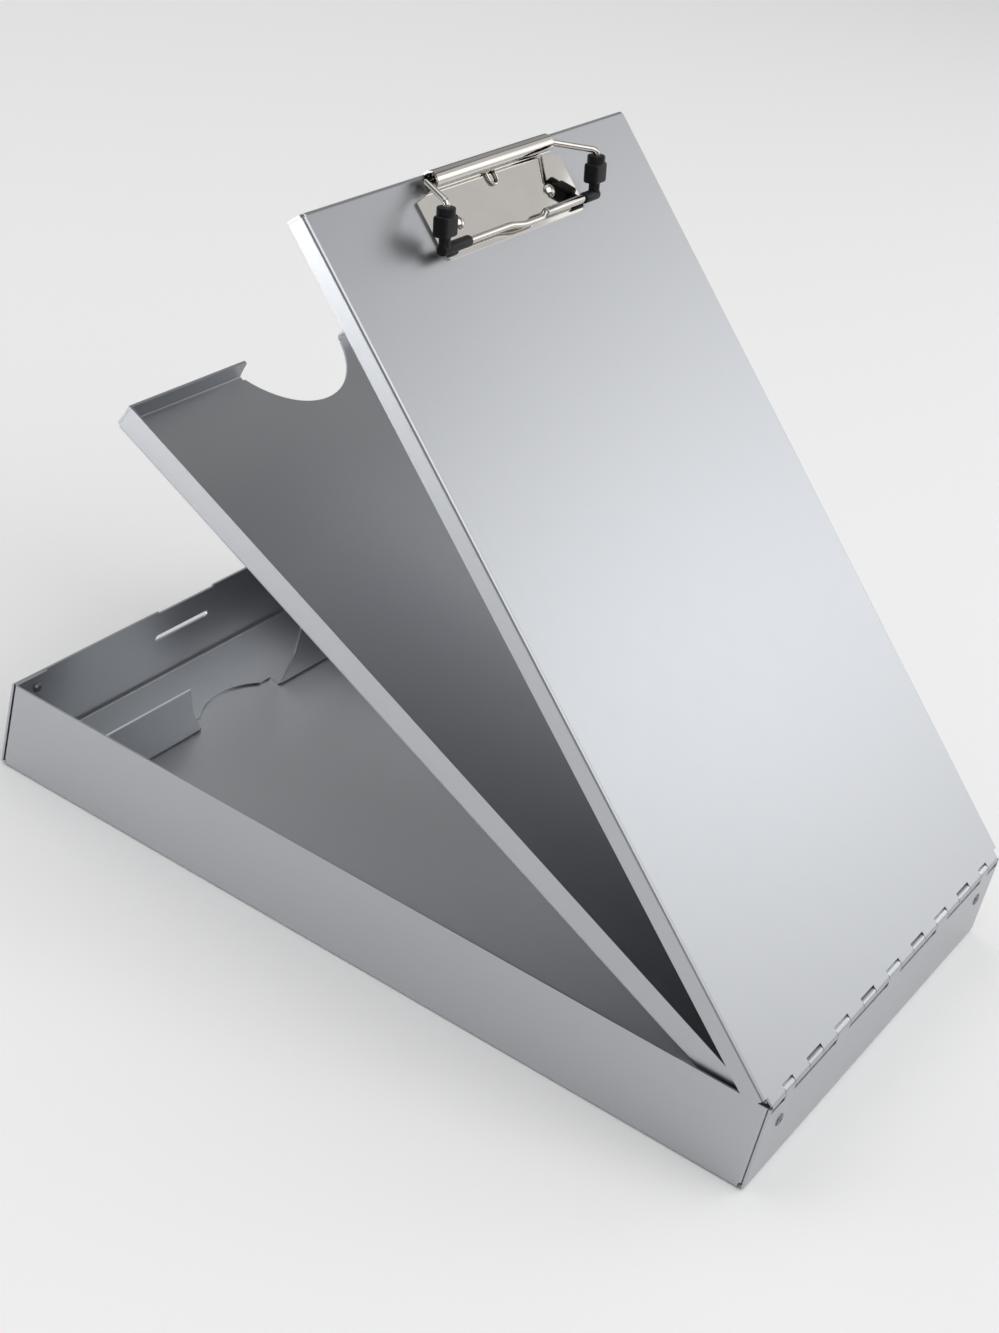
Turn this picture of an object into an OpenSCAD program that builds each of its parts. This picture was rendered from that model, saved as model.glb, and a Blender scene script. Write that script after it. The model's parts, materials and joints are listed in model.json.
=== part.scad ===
// Storage clipboard box of folded aluminium sheet, shown open as it lies on a desk.
// Units are millimetres. Z is up, the hinge pin runs along X at the -Y end,
// and the origin is the middle of the flat underside.

/* [Bottom box] */
// Outside width of the bottom box
box_w = 234; // [232:1:270]
// Outside length of the bottom box
box_l = 361.5; // [320:0.5:400]
// Height of the bottom box
box_h = 39.5; // [37:0.5:60]
// Thickness of the aluminium sheet
sheet_t = 1; // [0.8:0.1:1.1]
// Outside radius of every fold
fold_r = 1.5; // [1.3:0.1:1.8]
// Length of the corner tabs behind the end walls
tab_l = 20; // [14:1:30]
// Gap between a corner tab and the end wall in front of it
tab_gap = 0.1; // [0.05:0.05:0.3]
// Height of the relief below each corner tab
tab_relief = 3; // [2:0.5:6]

/* [Latch opening in the box] */
// Width of the shallow recess in the rim
recess_w = 40; // [36:1:60]
// Depth of the recess in the rim
recess_d = 1; // [0.6:0.1:2]
// Length of the latch slot, over its round ends
slot_l = 38.4; // [30:0.2:56]
// Height of the latch slot
slot_h = 3; // [2.6:0.1:4]
// Distance from the rim down to the middle of the slot
slot_drop = 14.5; // [12:0.5:20]

/* [Hinge] */
// Diameter of the hinge pin
pin_d = 2.5; // [2:0.1:3]
// Running clearance of the pin, on the radius
pin_clear = 0.05; // [0.02:0.01:0.08]
// Height of the rim above the middle of the pin
pin_drop = 0.4; // [0:0.1:1]
// Distance between two knuckles of the lid
knuckle_pitch = 25.4; // [24:0.1:26.4]
// Number of the last hinge notch on each side of the middle
last_knuckle = 4; // [2:1:4]
// Length of the shorter knuckle at each end
end_knuckle_l = 8.8; // [6:0.2:11]
// Side gap between two knuckles
knuckle_gap = 0.3; // [0.2:0.05:0.6]
// Clearance around a knuckle to the sheet next to it
knuckle_clear = 0.3; // [0.2:0.05:0.6]
// Distance from the box side to the end of the knuckle row
row_inset = 1.5; // [1.3:0.1:2.5]
// Distance from the box side to the end of the pin
pin_inset = 2.5; // [2:0.1:4]

/* [Middle tray] */
// Opening angle of the tray
tray_angle = 24.1; // [1:0.1:80]
// Gap between the tray and the side wall of the box
tray_side_gap = 1.3; // [1:0.1:5]
// Gap between the tray and the corner tabs at the open end
tray_end_gap = 1.3; // [1:0.1:5]
// Distance from the pin axis down to the rim of the tray
tray_rim_drop = 2.3; // [2:0.1:5]
// Depth of the tray, rim to underside
tray_h = 11.2; // [8:0.2:14]
// Radius of the round thumb notch, in the flat sheet
notch_r = 39; // [25:1:60]
// Distance of the notch centre beyond the fold, in the flat sheet
notch_out = 15; // [5:1:20]
// Radius of the corners where the notch meets the rim
notch_corner = 2.5; // [0.5:0.1:4]

/* [Lid] */
// Opening angle of the lid
lid_angle = 42.8; // [20:0.1:100]
// Gap between the lid flanges and the box sides
lid_side_gap = 1.1; // [0.6:0.1:3]
// Gap between the lid flange and the open end of the box
lid_end_gap = 1; // [0.9:0.1:3]
// Height of the lid flanges
lid_flange_h = 7.7; // [6:0.1:12]
// Distance from the pin axis to the start of the side flanges
lid_corner = 3.5; // [3.2:0.1:8]

/* [Latch] */
// Width of the latch spring under the lid
latch_w = 38; // [30:1:56]
// Thickness of the latch spring
latch_t = 0.8; // [0.5:0.1:0.9]
// Length of the welded part of the latch spring
latch_l = 17; // [10:1:40]
// Gap between the latch tongue and the end wall
latch_gap = 0.5; // [0.3:0.1:1]
// Play of the latch lug in its slot, above and below
lug_play = 0.4; // [0.2:0.05:0.5]
// Distance that the lug stands out of the end wall
lug_out = 1; // [0.5:0.1:2]
// Length of the tongue below the lug
tongue_tail = 2.4; // [1:0.1:5]

/* [Pencil divider] */
// Distance from the open end of the box to the divider
divider_y = 40.7; // [30:0.5:70]
// Height of the divider over the box floor
divider_h = 25.2; // [12:0.2:25.4]
// Lean of the divider towards the open end
divider_lean = 5; // [0:1:8]
// Radius of the round finger cut, in the flat sheet
finger_r = 42; // [25:1:60]
// Distance of the finger cut centre above the fold, in the flat sheet
finger_up = 29.4; // [15:0.2:40]
// Gap between the divider and the box walls
divider_gap = 0.7; // [0.3:0.1:2]

/* [Corner rivets] */
// Diameter of the rivet shanks
rivet_d = 3.1; // [2.4:0.1:4]
// Diameter of the rivet heads
rivet_head_d = 5.4; // [4.6:0.1:7]
// Height of the rivet heads
rivet_head_h = 0.6; // [0.4:0.1:0.8]
// Distance of the hinge end rivets from the box sides
hinge_rivet_in = 16; // [10:0.5:17]
// Height of the hinge end rivets over the table
hinge_rivet_z = 25.5; // [10:0.5:30]
// Distance of the open end rivets from the box sides
open_rivet_in = 14.5; // [10:0.5:17]
// Height of the open end rivets over the table
open_rivet_z = 33; // [10:0.5:34]

/* [Clip plate] */
// Width of the clip plate
plate_w = 107; // [96:1:130]
// Thickness of the clip plate
plate_t = 0.9; // [0.7:0.1:1]
// Distance from the barrel axis to the front edge of the plate
plate_front = 30; // [30:0.5:44]
// Distance from the barrel axis to the back corners of the plate
plate_back = 5.8; // [4.5:0.1:9]
// Radius of the front corners of the plate
plate_corner_r = 4; // [1:0.5:8]
// Outside diameter of the rolled barrel
barrel_d = 7.6; // [7.6:0.1:9]
// Length of the rolled barrel
barrel_l = 87; // [80:1:88]
// Distance from the end of the lid to the barrel
barrel_inset = 0.2; // [0:0.1:3]
// Distance between the two clip rivets
clip_rivet_pitch = 69; // [50:1:80]
// Distance from the barrel axis to the clip rivets
clip_rivet_y = 18; // [14:0.5:20]

/* [Wire bail] */
// Diameter of the bail wire
wire_d = 2.6; // [2:0.1:2.6]
// Half width of the bail, at the wire middle
bail_half = 57.4; // [54:0.2:70]
// Distance from the barrel axis forward to the front bar
bail_reach = 26.2; // [25:0.1:28]
// Height of the front bar middle over the lid
bar_z = 4.7; // [4.3:0.1:6]
// Distance from the barrel axis forward to the top of the hump
hump_reach = 11.6; // [10:0.1:14]
// Height of the hump over the lid
hump_z = 15.4; // [14:0.1:18]
// Radius of the bend at the hump
hump_bend = 2; // [1.6:0.1:2]
// Radius of the bail corners
bail_bend = 3; // [2.6:0.1:4]
// Distance that the left half of the front bar steps forward
kink = 1.6; // [0.1:0.1:1.9]
// Place where the step starts, from the plate middle
kink_x = -12; // [-20:0.5:-8]
// Length of the way out to the full step
kink_out = 15; // [10:0.5:16]
// Length of the way back into the sleeve
kink_back = 5.5; // [4:0.5:8]
// Place of the sleeve mouth, from the plate middle
sleeve_x = 18; // [15:0.5:30]
// Outside diameter of the sleeve that joins the bail halves
sleeve_d = 3.5; // [3.3:0.1:3.8]
// Length of wire inside the barrel
pivot_l = 17; // [14:0.5:20]

/* [Torsion spring] */
// Diameter of the spring wire
spring_d = 1.2; // [0.8:0.1:1.2]
// Turns of each spring coil
spring_turns = 8; // [3:1:9]
// Distance between two turns
spring_pitch = 1.65; // [1.65:0.05:2]
// Width of the anchor loop
loop_w = 6; // [4:0.5:8]
// Distance from the barrel axis to the tip of the anchor loop
loop_reach = 8.6; // [7:0.2:11]

/* [Grips] */
// Width of a grip body
grip_w = 9; // [7:0.5:12]
// Thickness of a grip body
grip_t = 6.4; // [5:0.2:8]
// Diameter of the collars around the front bar
grip_collar_d = 4.6; // [4.5:0.1:5.4]
// Length of the left collar, from the bail corner
left_collar_l = 17.5; // [8:0.5:20]
// Length of the right collar, from the bail corner
right_collar_l = 9; // [7:0.5:18]
// Diameter of the ring at the top of a grip
grip_ring_d = 7.3; // [5:0.1:8]

/* [Hidden] */
$fn = 48;

// Hinge: the pin axis lies one roll radius inside the outer face of the end wall
bore_r = pin_d / 2 + pin_clear;
roll_r = bore_r + sheet_t;
hinge_end = -box_l / 2;
open_end = box_l / 2;
pin_y = hinge_end + roll_r;
pin_z = box_h - pin_drop;
row_half = box_w / 2 - row_inset;
wall_cut_z = pin_z - roll_r - knuckle_clear;
leaf_stub = roll_r + knuckle_clear + sheet_t / 2;
notch_u = roll_r + knuckle_clear;
seam_angle = 30;

// Bottom box: side walls start where the tab folds end
inside_w = box_w - 2 * sheet_t;
wall_start = sheet_t + tab_gap + fold_r;
tab_inner = box_l / 2 - 2 * sheet_t - tab_gap;
floor_half = box_w / 2 - fold_r;
slot_z = box_h - slot_drop;

// Middle tray, in its own frame with the pin axis as origin
tray_w = inside_w - 2 * tray_side_gap;
tray_bottom = -tray_rim_drop - tray_h;
tray_l = tab_inner - tray_end_gap - pin_y;
tray_wall_u = bore_r;
tray_floor_half = tray_w / 2 - fold_r;
tray_end_top = -roll_r - knuckle_clear - knuckle_gap;

// Lid, in its own frame with the pin axis as origin
lid_w = box_w + 2 * (lid_side_gap + sheet_t);
lid_l = open_end + lid_end_gap + sheet_t - pin_y;
lid_under = roll_r - sheet_t;
lid_floor_half = lid_w / 2 - fold_r;

// Latch, in the frame of the lid
wall_inner_u = open_end - sheet_t - pin_y;
wall_outer_u = open_end - pin_y;
latch_top = lid_under - latch_t;
tongue_u = wall_inner_u - latch_gap;
lug_top = slot_z + slot_h / 2 - lug_play - pin_z;
lug_low = slot_z - slot_h / 2 + lug_play - pin_z;
lug_half = slot_l / 2 - slot_h / 2 - 0.3;
lug_end_u = wall_outer_u + lug_out;
tongue_drop = 0.2;
base_end_gap = 0.7;

// Clip, with the barrel axis over its origin and the top of the lid at height 0
barrel_r = barrel_d / 2;
clip_u = lid_l - barrel_r - barrel_inset;
barrel_seam = 35;
wire_r = wire_d / 2;
pivot_r = wire_r + 0.05;
wire_bore_r = wire_r + 0.05;
sleeve_r = sleeve_d / 2;
mouth_gap = 2.5;
mouth_bend = 2.4;
pivot_out = barrel_l / 2 + 0.6;
arm_slope = atan((hump_z - bar_z) / (bail_reach - hump_reach));
arm_l = norm([hump_z - bar_z, bail_reach - hump_reach]);
sleeve_in = 1.6;
sleeve_end = bail_half - right_collar_l + sleeve_in;
left_wire_x = sleeve_x + 11;
right_wire_x = sleeve_x + 12;
kink_steps = 5;
wire_sides = 10;
clip_shank_d = 3.2;
clip_head_d = 5.4;
clip_head_h = 1.7;
clip_tail_h = 0.7;
shank_play = 0.05;

// Grip, as distances along the arm from the bail corner
body_from = 0.27 * arm_l;
body_to = 0.73 * arm_l;
ring_to = 0.895 * arm_l;
neck_wall = 0.9;
grip_bevel = 0.7;
grip_round = 1.2;

// Torsion spring
coil_r = pivot_r + 0.2 + spring_d / 2;
coil_start = barrel_l / 2 - 4;
coil_steps = 8;
spring_sides = 6;
loop_z = plate_t + spring_d / 2 + 0.1;
window_half = loop_w / 2 + spring_d / 2 + 0.5;

function unit(v) = v / norm(v);

// Span of one hinge notch along X, number 0 in the middle
function notch_span(k) =
    let (near = abs(k) * knuckle_pitch - knuckle_pitch / 4)
    let (far = near + (abs(k) == last_knuckle ? end_knuckle_l : knuckle_pitch / 2))
    k < 0 ? [-far, -near] : [near, far];

// Points of an arc that rounds the corner p between a and b
function round_corner(a, p, b, r, steps) =
    let (da = unit(a - p), db = unit(b - p))
    let (half = acos(da * db) / 2)
    let (c = p + unit(da + db) * r / sin(half))
    let (s = p + da * r / tan(half) - c, e = p + db * r / tan(half) - c)
    let (sweep = 180 - 2 * half)
    [for (i = [0:steps])
        c + (s * sin(sweep * (1 - i / steps)) + e * sin(sweep * i / steps)) / sin(sweep)];

// Directions along a path, and one side vector carried along it
function directions(p) =
    [for (i = [0:len(p) - 1]) unit(p[min(i + 1, len(p) - 1)] - p[max(i - 1, 0)])];
function carried(d, side, i = 0) =
    i == len(d) ? [] :
    let (m = unit(side - (side * d[i]) * d[i]))
    concat([m], carried(d, m, i + 1));

// Round wire along a path
module wire(path, r, sides, side) {
    d = directions(path);
    m = carried(d, side);
    last = len(path) - 1;
    rings = [for (i = [0:last], j = [0:sides - 1])
        path[i] + r * (cos(360 * j / sides) * m[i] + sin(360 * j / sides) * cross(d[i], m[i]))];
    skin = [for (i = [0:last - 1], j = [0:sides - 1])
        let (a = i * sides + j, b = i * sides + (j + 1) % sides)
        each [[a, a + sides, b + sides], [a, b + sides, b]]];
    caps = [[for (j = [0:sides - 1]) j],
            [for (j = [sides - 1:-1:0]) last * sides + j]];
    polyhedron(rings, concat(skin, caps));
}

// A flat shape in X and Z swept along Y, and one in Y and Z swept along X
module along_y(from, to) {
    translate([0, to, 0]) rotate([90, 0, 0]) linear_extrude(to - from) children();
}
module along_x(from, to) {
    translate([from, 0, 0]) rotate([90, 0, 90]) linear_extrude(to - from) children();
}
module both_sides() {
    children();
    mirror([1, 0, 0]) children();
}

// A fold of the sheet, a quarter ring to the right and below its centre
module fold_2d() {
    intersection() {
        difference() {
            circle(r = fold_r);
            circle(r = fold_r - sheet_t);
        }
        translate([0, -fold_r]) square(fold_r);
    }
}

// Sheet folded up at both edges
module channel_2d(w, h) {
    translate([fold_r - w / 2, 0]) square([w - 2 * fold_r, sheet_t]);
    for (s = [0, 1]) {
        mirror([s, 0]) {
            translate([w / 2 - fold_r, fold_r]) fold_2d();
            translate([w / 2 - sheet_t, fold_r]) square([sheet_t, h - fold_r]);
        }
    }
}

// Sheet folded up at its far end only
module end_fold_2d(from, to, h) {
    translate([from, 0]) square([to - fold_r - from, sheet_t]);
    translate([to - fold_r, fold_r]) fold_2d();
    translate([to - sheet_t, fold_r]) square([sheet_t, h - fold_r]);
}

// Rolled knuckle around the pin axis, with its leaf along the top and an open seam
module knuckle_2d(leaf) {
    reach = 2 * roll_r;
    difference() {
        circle(r = roll_r);
        circle(r = bore_r);
        polygon([[0, 0], reach * [cos(seam_angle), sin(seam_angle)], [reach, reach], [0, reach]]);
    }
    translate([0, bore_r]) square([leaf, sheet_t]);
}

// Knuckles of one leaf, at every second notch from the first
module knuckles(first) {
    for (k = [first:2:last_knuckle]) {
        span = notch_span(k);
        along_x(span[0] + knuckle_gap, span[1] - knuckle_gap) children();
    }
}

// Frame of a hinged leaf: origin on the pin axis, Y along the leaf
module leaf_frame(angle) {
    translate([0, pin_y, pin_z]) rotate([angle, 0, 0]) children();
}
module clip_frame() {
    leaf_frame(lid_angle) translate([0, clip_u, roll_r]) children();
}

// Bottom box
module corner_tab() {
    centre = [fold_r - box_w / 2, hinge_end + wall_start];
    translate([0, 0, tab_relief]) linear_extrude(box_h - tab_relief) {
        translate(centre) mirror([1, 0]) fold_2d();
        translate([centre[0], centre[1] - fold_r]) square([tab_l - fold_r, sheet_t]);
    }
}
module latch_cuts() {
    far = open_end + sheet_t;
    near = open_end - 2 * sheet_t;
    round_x = slot_l / 2 - slot_h / 2;
    along_y(near, far) {
        translate([-recess_w / 2, box_h - recess_d]) square([recess_w, 2 * recess_d]);
        translate([-round_x, slot_z - slot_h / 2]) square([2 * round_x, slot_h]);
        translate([-round_x, slot_z]) circle(d = slot_h);
        translate([round_x, slot_z]) circle(d = slot_h);
    }
}
module box_rivet_holes() {
    hole_r = rivet_d / 2 + shank_play;
    both_sides() {
        along_y(hinge_end - sheet_t, hinge_end + 3 * sheet_t)
            translate([box_w / 2 - hinge_rivet_in, hinge_rivet_z]) circle(r = hole_r);
        along_y(open_end - 3 * sheet_t, open_end + sheet_t)
            translate([box_w / 2 - open_rivet_in, open_rivet_z]) circle(r = hole_r);
    }
}
module bottom_box() {
    color("silver") {
        difference() {
            union() {
                along_y(hinge_end + wall_start, open_end - wall_start) channel_2d(box_w, box_h);
                along_x(-floor_half, floor_half) channel_2d(box_l, box_h);
                for (y = [hinge_end, open_end - sheet_t]) {
                    translate([-box_w / 2, y, fold_r]) cube([box_w, sheet_t, box_h - fold_r]);
                }
                both_sides() {
                    corner_tab();
                    mirror([0, 1, 0]) corner_tab();
                }
            }
            translate([-row_half - knuckle_clear, hinge_end - box_h, wall_cut_z])
                cube([2 * (row_half + knuckle_clear), box_h + roll_r + notch_u, box_h]);
            latch_cuts();
            box_rivet_holes();
        }
        knuckles(-last_knuckle)
            translate([pin_y, pin_z]) mirror([1, 0]) rotate(-90) knuckle_2d(leaf_stub);
    }
}

// Blind rivet through an end wall and its tab, with its head towards -Y
module corner_rivet() {
    grip = 2 * sheet_t + tab_gap;
    mandrel_r = rivet_d / 4;
    rotate([-90, 0, 0]) difference() {
        union() {
            translate([0, 0, -rivet_head_h / 2]) cylinder(d = rivet_head_d, h = rivet_head_h / 2);
            translate([0, 0, -rivet_head_h])
                cylinder(d1 = rivet_head_d * 0.7, d2 = rivet_head_d, h = rivet_head_h / 2);
            cylinder(d = rivet_d, h = grip);
            translate([0, 0, grip]) cylinder(d1 = rivet_head_d * 0.85, d2 = rivet_d, h = sheet_t);
        }
        translate([0, 0, -sheet_t]) cylinder(r = mandrel_r, h = 2 * sheet_t);
    }
}
module hinge_rivet(side) {
    color("lightgray")
        translate([side * (box_w / 2 - hinge_rivet_in), hinge_end, hinge_rivet_z]) corner_rivet();
}
module open_rivet(side) {
    color("lightgray")
        translate([side * (box_w / 2 - open_rivet_in), open_end, open_rivet_z])
            rotate([0, 0, 180]) corner_rivet();
}

// Pencil divider: an angle of sheet with one round cut across its fold
module divider_2d() {
    reach = 3 * fold_r;
    translate([fold_r, 0]) square([divider_y - fold_r - 2 * sheet_t - tab_gap - divider_gap, sheet_t]);
    translate([fold_r, fold_r]) {
        intersection() {
            difference() {
                circle(r = fold_r);
                circle(r = fold_r - sheet_t);
            }
            polygon([[0, 0], reach * [-cos(divider_lean), sin(divider_lean)], [-reach, -reach], [0, -reach]]);
        }
        rotate(-divider_lean) translate([-fold_r, 0])
            square([sheet_t, (divider_h - fold_r) / cos(divider_lean)]);
    }
}
module pencil_divider() {
    half = inside_w / 2 - divider_gap;
    y = open_end - divider_y;
    lean_room = divider_h * tan(divider_lean) + 3 * fold_r;
    color("darkgray") difference() {
        along_x(-half, half) translate([y, sheet_t]) divider_2d();
        translate([0, y + fold_r / 2 - finger_up, 0])
            cylinder(r = finger_r, h = 2 * sheet_t + fold_r / 2, $fn = 96);
        along_y(y - fold_r, y + lean_room)
            translate([0, sheet_t + fold_r / 2 + finger_up]) circle(r = finger_r, $fn = 96);
    }
}

// Hinge pin, shared by the box, the tray and the lid
module hinge_pin() {
    half = box_w / 2 - pin_inset;
    color("gray") along_x(-half, half) translate([pin_y, pin_z]) circle(d = pin_d);
}

// Middle tray, with a round thumb notch across the fold of its open end
module notch_corner_2d(notch) {
    rim = -tray_rim_drop;
    round_v = rim - notch_corner - notch[1];
    centre = notch + [sqrt(pow(notch_r + notch_corner, 2) - pow(round_v, 2)), round_v];
    touch = notch + notch_r * unit(centre - notch);
    difference() {
        polygon([centre, [centre[0], rim + sheet_t], [0, rim + sheet_t], [0, touch[1]], touch]);
        translate(centre) circle(r = notch_corner);
    }
}
module tray_notch() {
    fold_u = tray_l - fold_r / 2;
    notch = [0, tray_bottom + fold_r / 2 + notch_out];
    translate([0, fold_u + notch_out, tray_bottom - sheet_t])
        cylinder(r = notch_r, h = 2 * sheet_t + fold_r / 2, $fn = 96);
    along_y(tray_l - 2 * fold_r, tray_l + sheet_t) {
        translate(notch) circle(r = notch_r, $fn = 96);
        both_sides() notch_corner_2d(notch);
    }
}
module middle_tray() {
    side_start = tray_wall_u + sheet_t + tab_gap;
    side_end = tray_l - sheet_t - tab_gap;
    wall_h = tray_h - fold_r;
    color("slategray") leaf_frame(tray_angle) {
        difference() {
            union() {
                along_y(tray_wall_u + fold_r, tray_l - fold_r)
                    translate([0, tray_bottom]) channel_2d(tray_w, tray_h);
                along_x(-tray_floor_half, tray_floor_half) {
                    translate([0, tray_bottom])
                        end_fold_2d(tray_wall_u + tray_l / 2, tray_l, tray_h);
                    translate([tray_wall_u + tray_l / 2, tray_bottom]) mirror([1, 0])
                        end_fold_2d(-sheet_t, tray_l / 2, tray_h);
                }
                for (u = [tray_wall_u, tray_l - sheet_t]) {
                    translate([-tray_w / 2, u, tray_bottom + fold_r]) cube([tray_w, sheet_t, wall_h]);
                }
                both_sides() translate([tray_w / 2 - sheet_t, side_start, tray_bottom + fold_r])
                    cube([sheet_t, side_end - side_start, wall_h]);
            }
            translate([-tray_w, 0, tray_end_top])
                cube([2 * tray_w, side_start - tab_gap / 2, tray_h]);
            tray_notch();
        }
        knuckles(1 - last_knuckle)
            rotate(-90) knuckle_2d(sheet_t / 2 - tray_end_top);
    }
}

// Lid, a cap whose flanges hang outside the box walls
module clip_rivet_places() {
    both_sides() translate([clip_rivet_pitch / 2, -clip_rivet_y, 0]) children();
}
module lid_panel() {
    side_end = lid_l - sheet_t - tab_gap;
    wall_h = lid_flange_h - fold_r;
    color("gainsboro") leaf_frame(lid_angle) difference() {
        union() {
            along_y(lid_corner, lid_l - fold_r)
                translate([0, roll_r]) mirror([0, 1]) channel_2d(lid_w, lid_flange_h);
            along_x(-lid_floor_half, lid_floor_half)
                translate([0, roll_r]) mirror([0, 1]) end_fold_2d(lid_corner, lid_l, lid_flange_h);
            translate([-lid_w / 2, lid_l - sheet_t, roll_r - lid_flange_h])
                cube([lid_w, sheet_t, wall_h]);
            both_sides() translate([lid_w / 2 - sheet_t, lid_corner, roll_r - lid_flange_h])
                cube([sheet_t, side_end - lid_corner, wall_h]);
            along_x(-row_half, row_half) knuckle_2d(lid_corner + sheet_t);
        }
        for (k = [-last_knuckle:last_knuckle]) {
            span = notch_span(k);
            translate([span[0], -2 * roll_r, -2 * roll_r])
                cube([span[1] - span[0], 2 * roll_r + notch_u, 4 * roll_r]);
        }
        translate([0, clip_u, 0]) clip_rivet_places()
            cylinder(d = clip_shank_d + 2 * shank_play, h = 2 * roll_r);
    }
}

// Latch spring under the lid: a welded base, and the tongue that bends from it
module latch_base() {
    to = lid_l - sheet_t - base_end_gap;
    color("dimgray") leaf_frame(lid_angle)
        translate([-latch_w / 2, to - latch_l, latch_top]) cube([latch_w, latch_l, latch_t]);
}
module latch_tongue() {
    color("dimgray") leaf_frame(lid_angle) along_x(-lug_half, lug_half)
        polygon([[tongue_u - latch_t, latch_top - tongue_drop], [tongue_u, latch_top - tongue_drop],
                 [tongue_u, lug_top], [lug_end_u, lug_top - latch_t / 4],
                 [lug_end_u, (lug_top + lug_low) / 2], [tongue_u, lug_low],
                 [tongue_u, lug_low - tongue_tail], [tongue_u - latch_t, lug_low - tongue_tail]]);
}

// Clip plate with its rolled barrel
module plate_2d() {
    half = plate_w / 2;
    corner = plate_corner_r;
    translate([-half, corner - plate_front]) square([plate_w, plate_front - corner - plate_back]);
    translate([corner - half, -plate_front]) square([plate_w - 2 * corner, 2 * corner]);
    for (s = [-1, 1]) {
        translate([s * (half - corner), corner - plate_front]) circle(r = corner);
    }
    polygon([[-half, -plate_back], [half, -plate_back], [barrel_l / 2, -barrel_r],
             [barrel_l / 2, 0], [-barrel_l / 2, 0], [-barrel_l / 2, -barrel_r]]);
}
module barrel_2d() {
    reach = 2 * barrel_r;
    translate([0, barrel_r]) difference() {
        circle(r = barrel_r);
        circle(r = barrel_r - plate_t);
        polygon([[0, 0], [-reach * cos(barrel_seam), -reach * sin(barrel_seam)],
                 [-reach, -reach], [0, -reach]]);
    }
}
module clip_plate() {
    color("lightsteelblue") clip_frame() difference() {
        union() {
            linear_extrude(plate_t) plate_2d();
            along_x(-barrel_l / 2, barrel_l / 2) barrel_2d();
        }
        clip_rivet_places()
            translate([0, 0, -plate_t]) cylinder(d = clip_shank_d + 2 * shank_play, h = 3 * plate_t);
        translate([-window_half, -2 * barrel_r, plate_t])
            cube([2 * window_half, 2 * barrel_r, loop_z + spring_d - plate_t]);
    }
}

// Domed rivet through the clip plate and the lid
module clip_rivet(side) {
    grip = plate_t + sheet_t;
    color("whitesmoke") clip_frame() translate([side * clip_rivet_pitch / 2, -clip_rivet_y, 0]) {
        translate([0, 0, plate_t]) intersection() {
            cylinder(d = clip_head_d, h = clip_head_h);
            translate([0, 0, clip_head_h - clip_head_d * 0.65]) sphere(r = clip_head_d * 0.65);
        }
        translate([0, 0, -sheet_t]) cylinder(d = clip_shank_d, h = grip);
        translate([0, 0, -sheet_t - clip_tail_h])
            cylinder(d1 = clip_head_d * 0.8, d2 = clip_head_d * 0.95, h = clip_tail_h);
    }
}

// Double torsion spring in the barrel, anchored by a loop over the plate
function coil(side) =
    let (n = spring_turns * coil_steps)
    [for (i = [0:n])
        let (a = -90 + side * 360 * i / coil_steps)
        [side * (coil_start - i / coil_steps * spring_pitch),
         coil_r * cos(a), barrel_r + coil_r * sin(a)]];
function backwards(p) = [for (i = [len(p) - 1:-1:0]) p[i]];
module clip_spring() {
    run_z = max(barrel_r - coil_r, loop_z);
    bend = 1.4;
    half = loop_w / 2;
    tip = half - loop_reach;
    left_in = [-half, 0, run_z];
    left_out = [-half, tip, loop_z];
    turn = [for (i = [0:6]) [-half * cos(i * 30), tip - half * sin(i * 30), loop_z]];
    left_coil = coil(-1);
    right_coil = backwards(coil(1));
    left_bend = round_corner(left_in - [9, 0, 0], left_in, left_out, bend, 3);
    right_bend = [for (p = backwards(left_bend)) [-p[0], p[1], p[2]]];
    path = concat(left_coil, left_bend, turn, right_bend, right_coil);
    far = coil_steps - 2;
    near = [for (i = [0:2:len(path) - 1], j = [i + far:2:len(path) - 1]) norm(path[i] - path[j])];
    echo(spring_gap = min(near) - spring_d);
    color("darkgray") clip_frame() wire(path, spring_d / 2, spring_sides, [0, 1, 0.2]);
}

// Wire bail: each half starts in the barrel, climbs to a hump and comes down to the front bar
function bail_arm() =
    let (mouth = [-barrel_l / 2 - mouth_gap, 0, barrel_r])
    let (hump = [-bail_half, -hump_reach, hump_z])
    let (corner = [-bail_half, -bail_reach, bar_z])
    concat([[-pivot_out + 1, 0, barrel_r]],
           round_corner([0, 0, barrel_r], mouth, hump, mouth_bend, 3),
           round_corner(mouth, hump, corner, hump_bend, 4),
           round_corner(hump, corner, [0, -bail_reach, bar_z], bail_bend, 5));

// Part of the step that the bar has made, rising from 0 to 1 as a half wave
function step_at(part) = (1 - cos(180 * part)) / 2;
module bail_pivot() {
    along_x(-pivot_out, -pivot_out + pivot_l) translate([0, barrel_r]) circle(r = pivot_r);
}
module bail_left_wire() {
    parts = [for (i = [0:kink_steps]) i / kink_steps];
    way_out = [for (part = parts) [kink_x + kink_out * part, step_at(part)]];
    way_back = [for (part = parts) [sleeve_x - kink_back * (1 - part), step_at(1 - part)]];
    bar = [for (p = concat(way_out, way_back, [[left_wire_x, 0]]))
        [p[0], -bail_reach - kink * p[1], bar_z]];
    color("lightsteelblue") clip_frame() {
        bail_pivot();
        wire(concat(bail_arm(), bar), wire_r, wire_sides, [0, 0, 1]);
    }
}
module bail_right_wire() {
    bar = [[-right_wire_x, -bail_reach, bar_z]];
    color("lightsteelblue") clip_frame() mirror([1, 0, 0]) {
        bail_pivot();
        wire(concat(bail_arm(), bar), wire_r, wire_sides, [0, 0, 1]);
    }
}
module bail_sleeve() {
    color("lightsteelblue") clip_frame() along_x(sleeve_x, sleeve_end)
        translate([-bail_reach, bar_z]) difference() {
            circle(r = sleeve_r);
            circle(r = wire_bore_r);
        }
}

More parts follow.
